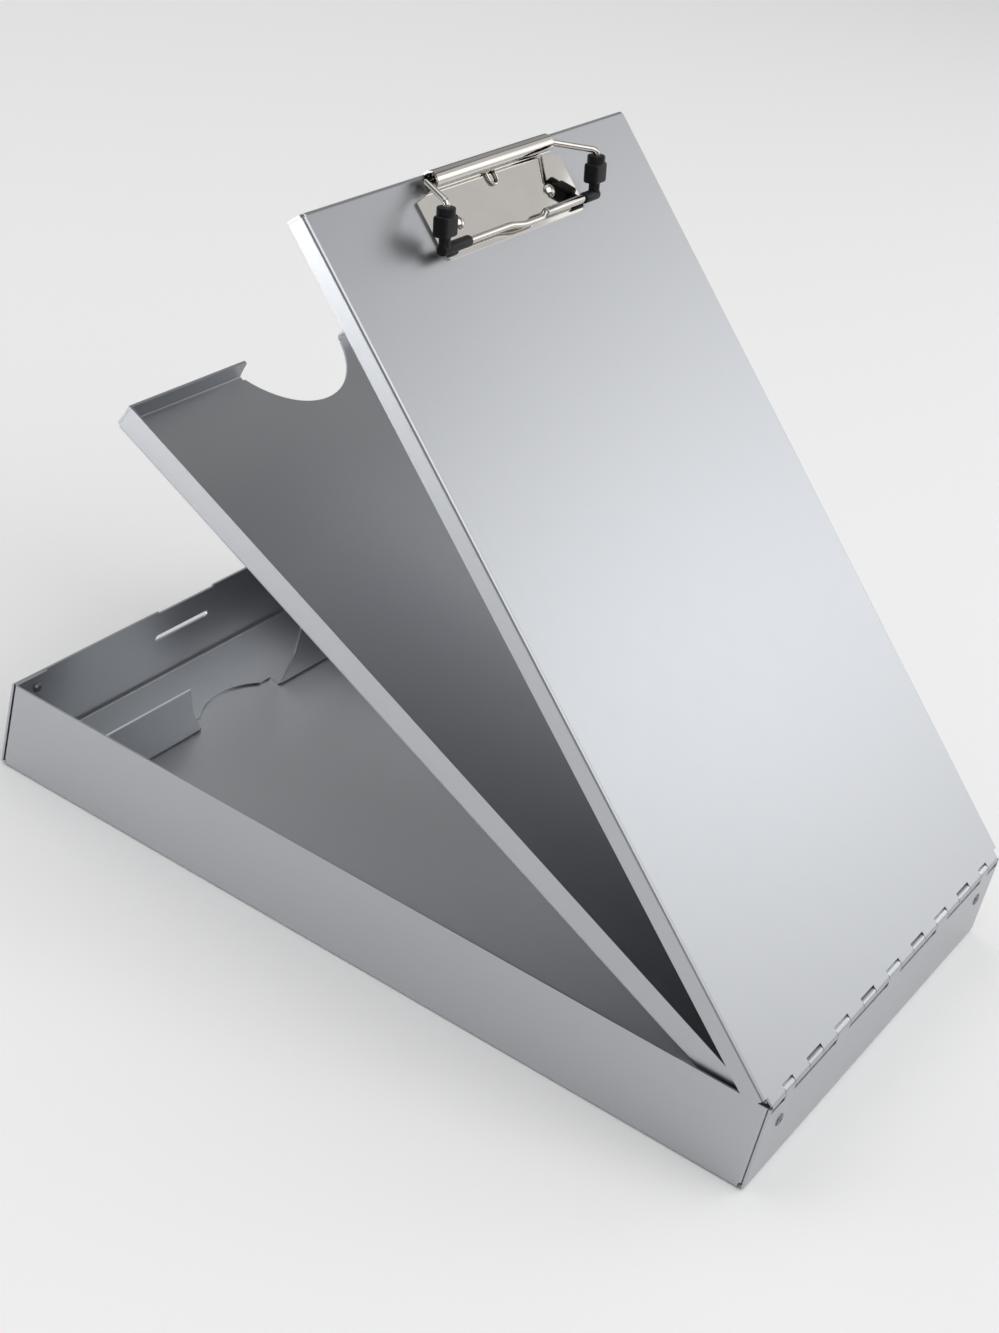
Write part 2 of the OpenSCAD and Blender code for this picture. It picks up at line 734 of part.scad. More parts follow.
// Moulded grip around a bail corner, with the arm along local Y
module rounded_2d(w, h, r) {
    square([w - 2 * r, h], center = true);
    square([w, h - 2 * r], center = true);
    for (x = [-1, 1], y = [-1, 1]) {
        translate([x * (w / 2 - r), y * (h / 2 - r)]) circle(r = r);
    }
}
module grip(collar_l, bar_bore_r) {
    collar_r = grip_collar_d / 2;
    difference() {
        union() {
            along_x(grip_bevel - collar_r, collar_l) circle(r = collar_r);
            translate([-collar_r, 0, 0]) rotate([0, 90, 0])
                cylinder(r1 = collar_r - grip_bevel, r2 = collar_r, h = grip_bevel);
            rotate([arm_slope, 0, 0]) {
                along_y(0, body_from + grip_bevel) circle(r = wire_bore_r + neck_wall);
                along_y(body_from, body_to) rounded_2d(grip_w, grip_t, grip_round);
                along_y(body_to - grip_bevel, ring_to) circle(d = grip_ring_d);
            }
        }
        rotate([arm_slope, 0, 0]) {
            along_y(bail_bend, 2 * arm_l) circle(r = wire_bore_r);
            translate([bail_bend, bail_bend, 0]) rotate([0, 0, 180]) rotate_extrude(angle = 90)
                translate([bail_bend, 0]) circle(r = wire_bore_r);
        }
        along_x(bail_bend, 2 * collar_l) circle(r = wire_bore_r);
        along_x(collar_l - sleeve_in - shank_play, 2 * collar_l) circle(r = bar_bore_r);
    }
}
module left_grip() {
    color("black") clip_frame() translate([-bail_half, -bail_reach, bar_z])
        grip(left_collar_l, wire_bore_r);
}
module right_grip() {
    color("black") clip_frame() mirror([1, 0, 0]) translate([-bail_half, -bail_reach, bar_z])
        grip(right_collar_l, sleeve_r + shank_play);
}

bottom_box();
hinge_rivet(-1);  // hinge_rivet_left
hinge_rivet(1);  // hinge_rivet_right
open_rivet(-1);  // open_rivet_left
open_rivet(1);  // open_rivet_right
pencil_divider();
hinge_pin();
middle_tray();
lid_panel();
latch_base();
latch_tongue();
clip_plate();
clip_rivet(-1);  // clip_rivet_left
clip_rivet(1);  // clip_rivet_right
clip_spring();
bail_left_wire();
bail_right_wire();
bail_sleeve();
left_grip();
right_grip();
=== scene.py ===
"""Dresses the storage clipboard box: satin sheet, bright clip, round wires and moulded grips."""
import json
import math

import bpy
from mathutils import Matrix, Vector


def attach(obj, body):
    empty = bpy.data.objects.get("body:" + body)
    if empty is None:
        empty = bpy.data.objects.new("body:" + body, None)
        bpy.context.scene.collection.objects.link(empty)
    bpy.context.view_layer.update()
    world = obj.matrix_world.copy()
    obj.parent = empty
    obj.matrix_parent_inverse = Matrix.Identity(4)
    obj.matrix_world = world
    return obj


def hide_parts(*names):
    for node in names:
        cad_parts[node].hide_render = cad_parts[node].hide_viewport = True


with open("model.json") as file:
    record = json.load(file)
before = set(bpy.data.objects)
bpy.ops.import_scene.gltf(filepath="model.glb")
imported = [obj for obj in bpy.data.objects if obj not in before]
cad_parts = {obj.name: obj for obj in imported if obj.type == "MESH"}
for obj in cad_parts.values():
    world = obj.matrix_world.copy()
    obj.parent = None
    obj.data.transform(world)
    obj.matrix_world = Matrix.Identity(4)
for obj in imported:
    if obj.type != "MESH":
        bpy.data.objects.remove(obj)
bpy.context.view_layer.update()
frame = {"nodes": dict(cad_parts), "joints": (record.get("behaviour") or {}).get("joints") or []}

bl_info = {
    "name": "Storage clipboard box",
    "version": (1, 0, 0),
    "blender": (4, 5, 0),
    "location": "3D View > Sidebar > Clipboard box",
    "description": "Dresses the packed storage clipboard box and sets its stage",
    "category": "Object",
}

NODES = frame["nodes"]
SHEETS = ("bottom_box", "middle_tray", "lid_panel", "pencil_divider")

# How finely wire is bent and how meshes are cleaned: lengths in metres, angles in degrees
WIRE_SIDES = 20
BEND_STEP = 8
WIRE_SMOOTHING = 60
TURNED_SMOOTHING = 40
SHARP_EDGE = 50
MERGE_DISTANCE = 0.000002
JIG_TOLERANCE = 0.0001
# The smallest bend that is worth making, in radians
SLIGHTEST_BEND = 0.001
# Depth of the painted highlight along the top of a sheet's cut rim
RIM_HIGHLIGHT_DEPTH = 0.0002
# How much a skin that isn't metal mirrors
DULL_SPECULAR = 0.2


def joint_place(name):
    """The point that a joint turns about, in the row frame."""
    found = next(j for j in frame["joints"] if j["name"] == name)
    return Vector(found["pos_m"])


class ClipboardSizes(bpy.types.PropertyGroup):
    """Tilts of tray and lid, and sizes of the clip's pieces along the lid and over it."""
    tray_tilt: bpy.props.FloatProperty(
        name="Tray tilt", description="Opening angle of the tray", default=math.radians(24.1),
        min=0.0, max=math.pi, subtype="ANGLE")
    lid_tilt: bpy.props.FloatProperty(
        name="Lid tilt", description="Opening angle of the lid", default=math.radians(42.8),
        min=0.0, max=math.pi, subtype="ANGLE")
    barrel_half: bpy.props.FloatProperty(
        name="Barrel half length", description="Half the length of the rolled barrel",
        default=0.0435, min=0.02, max=0.1, unit="LENGTH")
    barrel_radius: bpy.props.FloatProperty(
        name="Barrel radius", description="Outside radius of the rolled barrel",
        default=0.0038, min=0.002, max=0.008, unit="LENGTH")
    plate_thickness: bpy.props.FloatProperty(
        name="Plate thickness", description="Thickness of the clip plate",
        default=0.0009, min=0.0004, max=0.002, unit="LENGTH")
    wire_radius: bpy.props.FloatProperty(
        name="Wire radius", description="Radius of the bail wire", default=0.0013,
        min=0.0005, max=0.003, unit="LENGTH")
    bail_half: bpy.props.FloatProperty(
        name="Bail half width", description="Half width of the bail at the wire's middle",
        default=0.0574, min=0.03, max=0.1, unit="LENGTH")
    bail_reach: bpy.props.FloatProperty(
        name="Bail reach", description="Distance from the barrel axis to the front bar",
        default=0.0262, min=0.01, max=0.06, unit="LENGTH")
    bar_height: bpy.props.FloatProperty(
        name="Bar height", description="Height of the front bar's middle over the lid",
        default=0.0047, min=0.001, max=0.02, unit="LENGTH")
    hump_reach: bpy.props.FloatProperty(
        name="Hump reach", description="Distance from the barrel axis to the top of the hump",
        default=0.0116, min=0.005, max=0.04, unit="LENGTH")
    hump_height: bpy.props.FloatProperty(
        name="Hump height", description="Height of the hump over the lid",
        default=0.0154, min=0.005, max=0.03, unit="LENGTH")
    sleeve_from: bpy.props.FloatProperty(
        name="Sleeve mouth", description="Place of the sleeve's mouth from the middle",
        default=0.018, min=0.0, max=0.05, unit="LENGTH")
    sleeve_radius: bpy.props.FloatProperty(
        name="Sleeve radius", description="Outside radius of the sleeve", default=0.00175,
        min=0.0014, max=0.004, unit="LENGTH")
    kink: bpy.props.FloatProperty(
        name="Bar step", description="Distance that the left half of the bar steps forward",
        default=0.0016, min=0.0, max=0.003, unit="LENGTH")
    collar_radius: bpy.props.FloatProperty(
        name="Collar radius", description="Radius of the grip collars around the bar",
        default=0.0023, min=0.002, max=0.004, unit="LENGTH")
    left_collar: bpy.props.FloatProperty(
        name="Left collar", description="Length of the left collar from the bail's corner",
        default=0.0175, min=0.005, max=0.03, unit="LENGTH")
    right_collar: bpy.props.FloatProperty(
        name="Right collar", description="Length of the right collar from the bail's corner",
        default=0.009, min=0.005, max=0.03, unit="LENGTH")
    grip_width: bpy.props.FloatProperty(
        name="Grip width", description="Width of a grip's body", default=0.009,
        min=0.005, max=0.02, unit="LENGTH")
    grip_thickness: bpy.props.FloatProperty(
        name="Grip thickness", description="Thickness of a grip's body", default=0.0064,
        min=0.004, max=0.02, unit="LENGTH")
    ring_radius: bpy.props.FloatProperty(
        name="Ring radius", description="Radius of the ring at the top of a grip",
        default=0.00365, min=0.002, max=0.006, unit="LENGTH")
    spring_wire: bpy.props.FloatProperty(
        name="Spring wire radius", description="Radius of the torsion spring's wire",
        default=0.0006, min=0.0002, max=0.001, unit="LENGTH")
    spring_turns: bpy.props.IntProperty(
        name="Spring turns", description="Turns in each coil of the torsion spring",
        default=8, min=2, max=16)


class ClipboardColours(bpy.types.PropertyGroup):
    """Colours of the finishes and of the stage."""
    sheet: bpy.props.FloatVectorProperty(
        name="Satin sheet", description="Colour of the aluminium sheet", size=3,
        subtype="COLOR", default=(0.488, 0.502, 0.525), min=0.0, max=1.0)
    plating: bpy.props.FloatVectorProperty(
        name="Plating", description="Colour of the bright clip plating", size=3,
        subtype="COLOR", default=(0.60, 0.575, 0.54), min=0.0, max=1.0)
    steel: bpy.props.FloatVectorProperty(
        name="Steel", description="Colour of the pin and the latch", size=3,
        subtype="COLOR", default=(0.50, 0.50, 0.51), min=0.0, max=1.0)
    rivet: bpy.props.FloatVectorProperty(
        name="Corner rivets", description="Colour of the dull rivets in the box's corners",
        size=3, subtype="COLOR", default=(0.24, 0.24, 0.25), min=0.0, max=1.0)
    spring: bpy.props.FloatVectorProperty(
        name="Spring", description="Colour of the torsion spring's wire", size=3,
        subtype="COLOR", default=(0.62, 0.60, 0.57), min=0.0, max=1.0)
    grip: bpy.props.FloatVectorProperty(
        name="Grips", description="Colour of the moulded grips", size=3,
        subtype="COLOR", default=(0.008, 0.008, 0.009), min=0.0, max=1.0)
    floor: bpy.props.FloatVectorProperty(
        name="Floor", description="Colour of the floor", size=3,
        subtype="COLOR", default=(0.95, 0.95, 0.95), min=0.0, max=1.0)


class Signal:
    """One output of a shader node. Sums on it add the Math nodes that work them out."""

    def __init__(self, finish, socket):
        self.finish = finish
        self.socket = socket

    def _math(self, operation, *values):
        return self.finish.node("ShaderNodeMath", {"operation": operation}, *values)

    def __add__(self, other):
        return self._math("ADD", self, other)

    def __radd__(self, other):
        return self._math("ADD", other, self)

    def __mul__(self, other):
        return self._math("MULTIPLY", self, other)

    def __rmul__(self, other):
        return self._math("MULTIPLY", other, self)

    def over(self, low, high):
        """0 below low, 1 above high, and a smooth step between them."""
        return self.finish.node(
            "ShaderNodeMapRange", {"interpolation_type": "SMOOTHSTEP"}, self, low, high, 0.0, 1.0)


class Finish:
    """A material with one Principled shader, filled in by its methods."""

    def __init__(self, name, colour, metallic, roughness):
        self.material = bpy.data.materials.new(name)
        self.material.use_nodes = True
        self.tree = self.material.node_tree
        self.shader = next(n for n in self.tree.nodes if n.type == "BSDF_PRINCIPLED")
        self.material.diffuse_color = (*colour, 1.0)
        self.put("Base Color", (*colour, 1.0))
        self.put("Metallic", metallic)
        self.put("Roughness", roughness)

    def node(self, kind, settings, *values, output=0, **named):
        """Adds a node, sets it up, fills its sockets in order or by name, gives one output."""
        made = self.tree.nodes.new(kind)
        for key, value in settings.items():
            setattr(made, key, value)
        for number, value in enumerate(values):
            self._fill(made.inputs[number], value)
        for key, value in named.items():
            self._fill(made.inputs[key.replace("_", " ")], value)
        return Signal(self, made.outputs[output])

    def _fill(self, socket, value):
        """Links a signal to a socket, or writes a plain value. None leaves it as it is."""
        if isinstance(value, Signal):
            self.tree.links.new(value.socket, socket)
        elif value is not None:
            socket.default_value = value

    def put(self, name, value):
        """Fills a socket of the Principled shader."""
        self._fill(self.shader.inputs[name], value)

    def place(self, scale=(1.0, 1.0, 1.0), turn=0.0):
        """Object coordinates, turned back about X by the tilt of the piece and scaled."""
        coordinates = self.node("ShaderNodeTexCoord", {}, output="Object")
        flat = self.node("ShaderNodeMapping", {"vector_type": "POINT"}, Vector=coordinates,
                         Rotation=(-turn, 0.0, 0.0))
        return self.node("ShaderNodeMapping", {"vector_type": "POINT"}, Vector=flat, Scale=scale)

    def noise(self, vector, scale, detail):
        """Soft random spots, from 0 to 1."""
        return self.node("ShaderNodeTexNoise", {}, Vector=vector, Scale=scale, Detail=detail)

    def mix(self, factor, first, second):
        """A colour between two colours. Its sockets come after those for numbers and vectors."""
        other_sockets, colour_result = [None] * 5, 2
        return self.node("ShaderNodeMix", {"data_type": "RGBA"}, factor, *other_sockets, first,
                         second, output=colour_result)

    def bump(self, height, strength, distance):
        """Roughens the skin by a height."""
        normal = self.node("ShaderNodeBump", {}, Height=height, Strength=strength,
                           Distance=distance)
        self.put("Normal", normal)


def shade(colour, factor):
    """A colour made darker or brighter, for a colour socket."""
    return (*[min(1.0, c * factor) for c in colour], 1.0)


def satin_sheet(name, colour, tilt, rim=None, roughness=0.34):
    """Rolled aluminium: fine grain along the sheet, soft cloudiness, a painted highlight on a
    rim's top.
    """
    finish = Finish(name, colour, metallic=1.0, roughness=roughness)
    darker, brighter = shade(colour, 0.95), shade(colour, 1.04)
    # The second colour of the pair, 1.85 times as bright, is a painted highlight for the rim's
    # top
    brushed, rim_highlight_tone = shade(colour, 0.93), shade(colour, 1.85)
    smoothest, grain_roughens, cloud_roughens = roughness - 0.05, 0.07, 0.05
    grain_shows, grain_depth, fine_depth = 0.25, 0.6, 0.4
    along = finish.place(scale=(1.0, 0.03, 1.0), turn=tilt)
    grain = finish.noise(along, scale=1800.0, detail=3.0)
    fine = finish.noise(along, scale=5200.0, detail=1.0)
    even = finish.place(turn=tilt)
    cloud = finish.noise(even, scale=9.0, detail=4.0)
    finish.put("Roughness", smoothest + grain * grain_roughens + cloud * cloud_roughens)
    tone = finish.mix(cloud, darker, brighter)
    tone = finish.mix(grain * grain_shows, tone, brushed)
    # Painted highlight: the top of the rim is painted brighter, as if its cut edge caught the
    # light
    if rim:
        height = finish.node("ShaderNodeSeparateXYZ", {}, Vector=even, output="Z")
        rim_highlight_mask = height.over(low=rim - RIM_HIGHLIGHT_DEPTH, high=rim - RIM_HIGHLIGHT_DEPTH / 2)
        tone = finish.mix(rim_highlight_mask, tone, rim_highlight_tone)
    finish.put("Base Color", tone)
    finish.bump(grain * grain_depth + fine * fine_depth, strength=0.10, distance=0.00004)
    return finish.material


def bright_plating(name, colour, roughness=0.035):
    """Nickel plating: nearly a mirror, with faint cloudiness and hairline wear."""
    finish = Finish(name, colour, metallic=1.0, roughness=roughness)
    darker, brighter = shade(colour, 0.93), shade(colour, 1.05)
    cloud_roughens, wear_roughens = 0.03, 0.08
    cloud = finish.noise(finish.place(), scale=60.0, detail=3.0)
    streaks = finish.noise(finish.place(scale=(1.0, 0.12, 0.12)), scale=900.0, detail=4.0)
    wear = streaks.over(low=0.60, high=0.72)
    finish.put("Roughness", roughness + cloud * cloud_roughens + wear * wear_roughens)
    finish.put("Base Color", finish.mix(cloud, darker, brighter))
    finish.bump(cloud, strength=0.05, distance=0.0001)
    return finish.material


def dull_steel(name, colour, roughness=0.38):
    """Drawn steel with a slight tarnish."""
    finish = Finish(name, colour, metallic=1.0, roughness=roughness)
    darker, brighter = shade(colour, 0.82), shade(colour, 1.1)
    smoothest, tarnish_roughens = roughness - 0.06, 0.14
    tarnish = finish.noise(finish.place(), scale=420.0, detail=4.0)
    finish.put("Roughness", smoothest + tarnish * tarnish_roughens)
    finish.put("Base Color", finish.mix(tarnish, darker, brighter))
    finish.bump(tarnish, strength=0.08, distance=0.00005)
    return finish.material


def moulded_plastic(name, colour):
    """Black moulded plastic with a fine spark-eroded skin."""
    finish = Finish(name, colour, metallic=0.0, roughness=0.45)
    finish.put("Specular IOR Level", DULL_SPECULAR)
    darker, brighter = shade(colour, 0.8), shade(colour, 1.5)
    smoothest, skin_roughens, patch_roughens = 0.36, 0.10, 0.10
    skin = finish.noise(finish.place(), scale=2600.0, detail=2.0)
    patch = finish.noise(finish.place(), scale=220.0, detail=3.0)
    finish.put("Roughness", smoothest + skin * skin_roughens + patch * patch_roughens)
    finish.put("Base Color", finish.mix(patch, darker, brighter))
    finish.bump(skin, strength=0.18, distance=0.00006)
    return finish.material


def pale_floor(colour):
    """An even, matt floor."""
    finish = Finish("pale floor", colour, metallic=0.0, roughness=0.9)
    finish.put("Specular IOR Level", DULL_SPECULAR)
    return finish.material


def top_of(piece):
    """The height of a piece's highest point."""
    return max(vertex.co.z for vertex in piece.data.vertices)


def coat(piece, material):
    """Gives a piece one material."""
    piece.data.materials.clear()
    piece.data.materials.append(material)


def start_clean():
    """Goes back to object mode with nothing selected."""
    if bpy.context.object and bpy.context.object.mode != "OBJECT":
        bpy.ops.object.mode_set(mode="OBJECT")
    bpy.ops.object.select_all(action="DESELECT")


def only(piece):
    """Makes one object the selected and active one."""
    start_clean()
    piece.select_set(True)
    bpy.context.view_layer.objects.active = piece


def named(name):
    """Names the active object and its mesh."""
    piece = bpy.context.object
    piece.name = name
    piece.data.name = name
    return piece


def apply_place():
    """Moves the selected object's place, turn and scale into its mesh."""
    bpy.ops.object.transform_apply(location=True, rotation=True, scale=True)


def round_edges(piece, width, segments):
    """Rounds a piece's sharp edges."""
    only(piece)
    bevel = piece.modifiers.new("Bevel", "BEVEL")
    bevel.width = width
    bevel.segments = segments
    bevel.limit_method = "ANGLE"
    bevel.angle_limit = math.radians(SHARP_EDGE)
    bpy.ops.object.modifier_apply(modifier=bevel.name)


def facing(direction):
    """Rotation that turns +Z into a direction."""
    return Vector(direction).to_track_quat("Z", "Y").to_euler()


def joined(pieces, name):
    """Joins pieces into the first of them."""
    start_clean()
    for piece in pieces:
        piece.select_set(True)
    bpy.context.view_layer.objects.active = pieces[0]
    bpy.ops.object.join()
    return named(name)


def mirror_over(piece):
    """Mirrors a piece from the left side to the right."""
    only(piece)
    bpy.ops.transform.mirror(constraint_axis=(True, False, False))
    apply_place()


def smooth(piece, degrees):
    """Shades a piece smooth across edges up to an angle."""
    only(piece)
    bpy.ops.object.shade_smooth_by_angle(angle=math.radians(degrees))


def closed_up(piece):
    """Merges doubles, closes open rings and turns all faces outwards."""
    only(piece)
    bpy.ops.object.mode_set(mode="EDIT")
    bpy.ops.mesh.select_all(action="SELECT")
    bpy.ops.mesh.remove_doubles(threshold=MERGE_DISTANCE)
    bpy.ops.mesh.select_all(action="SELECT")
    bpy.ops.mesh.fill_holes(sides=0)
    bpy.ops.mesh.select_all(action="SELECT")
    bpy.ops.mesh.normals_make_consistent(inside=False)
    bpy.ops.object.mode_set(mode="OBJECT")


def rod(name, radius, start, end, sides, bevel=0.0):
    """A round rod between two points, with its end edges rounded where a bevel is given."""
    start_clean()
    start, end = Vector(start), Vector(end)
    bpy.ops.mesh.primitive_cylinder_add(
        vertices=sides, radius=radius, depth=(end - start).length,
        location=(start + end) / 2, rotation=facing(end - start))
    piece = named(name)
    apply_place()
    if bevel:
        round_edges(piece, bevel, segments=3)
    return piece


def pull(way):
    """Draws the selected end of a wire along a straight way."""
    bpy.ops.mesh.extrude_region_move(
        TRANSFORM_OT_translate={"value": way, "orient_type": "GLOBAL"})


def bent_wire(name, radius, points, bends):
    """A round wire pulled along straight runs and bent about each inner point, as on a jig."""
    points = [Vector(p) for p in points]
    heading = (points[1] - points[0]).normalized()
    start_clean()
    bpy.ops.mesh.primitive_circle_add(
        vertices=WIRE_SIDES, radius=radius, fill_type="NOTHING", location=points[0],
        rotation=facing(heading))
    piece = named(name)
    apply_place()
    bpy.ops.object.mode_set(mode="EDIT")
    bpy.ops.mesh.select_all(action="SELECT")
    here = points[0]
    for corner, after, bend in zip(points[1:-1], points[2:], bends):
        onward = (after - corner).normalized()
        turn = heading.angle(onward)
        back = bend * math.tan(turn / 2)
        run_end = corner - heading * back
        pull(run_end - here)
        here = run_end
        if turn > SLIGHTEST_BEND:
            axis = heading.cross(onward).normalized()
            centre = here + axis.cross(heading) * bend
            steps = max(2, math.ceil(math.degrees(turn) / BEND_STEP))
            bpy.ops.mesh.spin(steps=steps, angle=-turn, center=centre, axis=axis, dupli=False,
                              use_auto_merge=False, use_normal_flip=False)
            here = corner + onward * back
            heading = onward
            check_ring(piece, here)
    pull(points[-1] - here)
    bpy.ops.object.mode_set(mode="OBJECT")
    closed_up(piece)
    smooth(piece, WIRE_SMOOTHING)
    return piece


def check_ring(piece, centre):
    """Stops the build if the wire's working end isn't where the jig put it."""
    piece.update_from_editmode()
    ring = [v.co for v in piece.data.vertices if v.select]
    middle = sum(ring, Vector()) / max(1, len(ring))
    if not ring or (middle - centre).length > JIG_TOLERANCE:
        raise RuntimeError(f"{piece.name}: the wire's end is at {middle}, not at {centre}")


def to_clip(piece, sizes):
    """Takes a piece modelled on a flat lid to its place on the tilted lid."""
    pivot = joint_place("clip_hinge")
    turn = Matrix.Rotation(sizes.lid_tilt, 4, "X")
    down = turn @ Vector((0.0, 0.0, -sizes.barrel_radius))
    only(piece)
    piece.matrix_world = Matrix.Translation(pivot + down) @ turn
    apply_place()


def finish_piece(piece, body, replaced, material):
    """Coats a new piece and says which body it rides on and what it replaces."""
    coat(piece, material)
    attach(piece, body)
    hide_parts(*replaced)


def sizes_now():
    """The sizes set in the scene."""
    return bpy.context.scene.clipboard_sizes


def colours_now():
    """The colours set in the scene."""
    return bpy.context.scene.clipboard_colours


class DressSheets(bpy.types.Operator):
    """Give the folded sheets their satin rolled finish"""
    bl_idname = "clipboard.dress_sheets"
    bl_label = "Dress sheets"

    def execute(self, context):
        colour = colours_now().sheet
        tilt = {"middle_tray": sizes_now().tray_tilt, "lid_panel": sizes_now().lid_tilt}
        rims = {node: top_of(NODES[node]) for node in ("bottom_box", "pencil_divider")}
        for node in SHEETS:
            coat(NODES[node],
                 satin_sheet(f"satin {node}", colour, tilt.get(node, 0.0), rims.get(node)))
        return {"FINISHED"}


class DressFasteners(bpy.types.Operator):
    """Give the pin, the rivets and the latch their steel"""
    bl_idname = "clipboard.dress_fasteners"
    bl_label = "Dress fasteners"

    def execute(self, context):
        steel = dull_steel("drawn steel", colours_now().steel)
        rivet = dull_steel("dull rivet", colours_now().rivet)
        for node in ("hinge_pin", "latch_base", "latch_tongue"):
            coat(NODES[node], steel)
        for node in ("hinge_rivet_left", "hinge_rivet_right", "open_rivet_left",
                     "open_rivet_right"):
            coat(NODES[node], rivet)
        return {"FINISHED"}


class DressClipPlate(bpy.types.Operator):
    """Plate the clip plate and its rivets"""
    bl_idname = "clipboard.dress_clip_plate"
    bl_label = "Dress clip plate"

    def execute(self, context):
        plating = bright_plating("bright plating", colours_now().plating)
        for node in ("clip_plate", "clip_rivet_left", "clip_rivet_right"):
            coat(NODES[node], plating)
        return {"FINISHED"}


class MakeSpring(bpy.types.Operator):
    """Wind the torsion spring with its anchor loop"""
    bl_idname = "clipboard.make_spring"
    bl_label = "Wind spring"

    # The coils, which start a little inside the barrel's ends
    COIL_RADIUS = 0.00215
    COIL_PITCH = 0.00165
    COIL_INSET = 0.004
    STEPS_A_TURN = 20
    # The anchor loop between them, which lies just over the plate
    LOOP_HALF = 0.003
    LOOP_REACH = 0.0086
    LOOP_CORNER = 0.0014
    LOOP_CLEARANCE = 0.0001
    ARC_STEP = 15
    ROUGHNESS = 0.2

    def execute(self, context):
        sizes = sizes_now()
        piece = self.wire(self.route(sizes), sizes.spring_wire)
        to_clip(piece, sizes)
        spring = bright_plating("spring wire", colours_now().spring, self.ROUGHNESS)
        finish_piece(piece, "lid", ["clip_spring"], spring)
        return {"FINISHED"}

    def route(self, sizes):
        """The wire's middle line: left coil, left side, bow, right side and right coil."""
        loop_z = sizes.plate_thickness + sizes.spring_wire + self.LOOP_CLEARANCE
        run_z = max(sizes.barrel_radius - self.COIL_RADIUS, loop_z)
        left = self.coil(sizes) + self.corner(run_z)
        return left + self.bow(loop_z) + [(-x, y, z) for x, y, z in reversed(left)]

    def coil(self, sizes):
        """The left coil, wound inwards from the end of the barrel."""
        start = sizes.barrel_half - self.COIL_INSET
        points = []
        for step in range(sizes.spring_turns * self.STEPS_A_TURN + 1):
            angle = math.radians(-90 - 360 * step / self.STEPS_A_TURN)
            points.append((-(start - step / self.STEPS_A_TURN * self.COIL_PITCH),
                           self.COIL_RADIUS * math.cos(angle),
                           sizes.barrel_radius + self.COIL_RADIUS * math.sin(angle)))
        return points

    def corner(self, height):
        """The round corner where the left coil's wire turns into the loop."""
        angles = [math.radians(a) for a in range(0, 91, self.ARC_STEP)]
        return [(-self.LOOP_HALF + self.LOOP_CORNER * (math.sin(a) - 1.0),
                 -self.LOOP_CORNER * (1.0 - math.cos(a)), height) for a in angles]

    def bow(self, height):
        """The half circle at the front of the loop."""
        middle = self.LOOP_HALF - self.LOOP_REACH
        angles = [math.radians(a) for a in range(0, 181, self.ARC_STEP)]
        return [(-self.LOOP_HALF * math.cos(a), middle - self.LOOP_HALF * math.sin(a), height)
                for a in angles]

    def wire(self, path, radius):
        """A round wire along a path."""
        start_clean()
        bpy.ops.curve.primitive_nurbs_path_add()
        curve = bpy.context.object.data
        curve.splines.clear()
        spline = curve.splines.new("POLY")
        spline.points.add(len(path) - 1)
        for point, place in zip(spline.points, path):
            point.co = (*place, 1.0)
        curve.bevel_depth = radius
        curve.bevel_resolution = 3
        curve.use_fill_caps = True
        bpy.ops.object.convert(target="MESH")
        piece = named("clip_spring_wire")
        closed_up(piece)
        smooth(piece, WIRE_SMOOTHING)
        return piece


